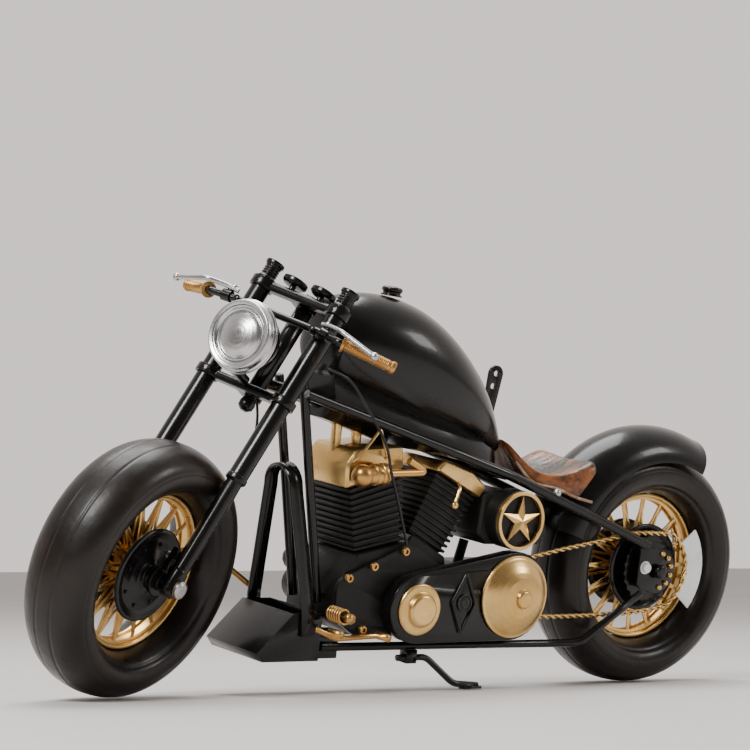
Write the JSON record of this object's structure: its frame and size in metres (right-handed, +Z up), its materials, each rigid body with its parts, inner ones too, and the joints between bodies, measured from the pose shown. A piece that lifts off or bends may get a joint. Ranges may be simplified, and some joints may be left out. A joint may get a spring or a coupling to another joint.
{
  "type": "model motorcycle",
  "caption": "Tin model of a long-fork custom motorcycle leaning on its side stand, front wheel turned left, black and gold, with a leather saddle and a V-twin engine.",
  "frame": {"origin": "middle of the outline seen from above, on the floor that the tyres and the stand rest on", "axes": "+X from the front wheel to the rear wheel, +Y to the rider's right, +Z up; the machine leans about 10 degrees towards -Y"},
  "size_m": [0.3992, 0.1132, 0.1901],
  "materials": {
    "black_enamel": "gloss black enamel over tinplate, a little worn",
    "bronze_finish": "darker bronze-gold paint",
    "gold_finish": "matt gold paint with bright edges",
    "pale_metal": "pale silver-white paint",
    "satin_black": "satin black paint",
    "seat_leather": "brown leather-look finish, dark and worn in the middle",
    "silver_metal": "brushed silver finish",
    "tyre_rubber": "dark brown-black rubber-like coating, soft sheen"
  },
  "bodies": {
    "frame": {"axle_plate_left": "black_enamel", "axle_plate_right": "black_enamel", "brake_plate": "pale_metal", "clutch_cable": "black_enamel", "clutch_dome": "gold_finish", "cradle_tube_left": "black_enamel", "cradle_tube_right": "black_enamel", "crankcase": "satin_black", "crankcase_cover": "satin_black", "derby_cap": "gold_finish", "down_tube_left": "black_enamel", "down_tube_right": "black_enamel", "drive_chain": "gold_finish", "filler_cap": "black_enamel", "foot_lever": "bronze_finish", "frame_rail_left": "black_enamel", "frame_rail_right": "black_enamel", "frame_spine": "black_enamel", "front_cylinder": "satin_black", "front_rocker_box": "gold_finish", "fuel_tank": "black_enamel", "guard_hoop": "black_enamel", "intake": "bronze_finish", "left_footpeg": "bronze_finish", "oil_tank": "satin_black", "peg_spring": "bronze_finish", "primary_cover": "black_enamel", "rear_axle": "silver_metal", "rear_cylinder": "satin_black", "rear_fender": "black_enamel", "rear_rocker_box": "gold_finish", "right_footpeg": "bronze_finish", "seat": "seat_leather", "shift_plate": "black_enamel", "skid_pan": "black_enamel", "star_badge": "gold_finish"},
    "steering": {"fork_leg_left": "black_enamel", "fork_leg_right": "black_enamel", "upper_fork_clamp": "black_enamel", "lower_fork_clamp": "black_enamel", "front_axle": "silver_metal", "handlebar": "black_enamel", "grip_left": "bronze_finish", "grip_right": "bronze_finish", "gauge_left": "black_enamel", "gauge_right": "black_enamel", "headlight_bucket": "black_enamel", "headlight_bezel": "silver_metal", "headlight_lens": "silver_metal", "brake_cable": "black_enamel"},
    "left_lever": {"clutch_lever": "silver_metal"},
    "right_lever": {"brake_lever": "silver_metal"},
    "front_wheel": {"front_tyre": "tyre_rubber", "front_spokes": "gold_finish", "front_hub": "black_enamel"},
    "rear_wheel": {"rear_tyre": "tyre_rubber", "rear_spokes": "gold_finish", "rear_hub": "black_enamel", "rear_sprocket": "black_enamel"},
    "stand": {"side_stand": "black_enamel"}
  },
  "joints": [
    {"name": "steering_turn", "type": "hinge", "parent": "frame", "child": "steering", "pos_m": [-0.13829, 0.02012, 0.05193], "axis": [0.521, -0.1512, 0.8401], "range_deg": [-47.2, 4.8], "deforming": ["clutch_cable"]},
    {"name": "front_wheel_spin", "type": "hinge", "parent": "steering", "child": "front_wheel", "pos_m": [-0.14434, 0.01676, 0.05508], "axis": [-0.3087, 0.8842, 0.3505], "continuous": true},
    {"name": "rear_wheel_spin", "type": "hinge", "parent": "frame", "child": "rear_wheel", "pos_m": [0.14307, 0.01937, 0.05608], "axis": [0, 0.9842, 0.1771], "continuous": true},
    {"name": "clutch_lever_pull", "type": "hinge", "parent": "steering", "child": "left_lever", "pos_m": [-0.07655, -0.03077, 0.15715], "axis": [0.521, -0.1512, 0.8401], "range_deg": [0, 8]},
    {"name": "brake_lever_pull", "type": "hinge", "parent": "steering", "child": "right_lever", "pos_m": [-0.09332, 0.01728, 0.17619], "axis": [0.521, -0.1512, 0.8401], "range_deg": [-8, 0]},
    {"name": "stand_fold", "type": "hinge", "parent": "frame", "child": "stand", "pos_m": [-0.00228, 0.00849, 0.01464], "axis": [1, 0, 0], "range_deg": [0, 95]}
  ]
}
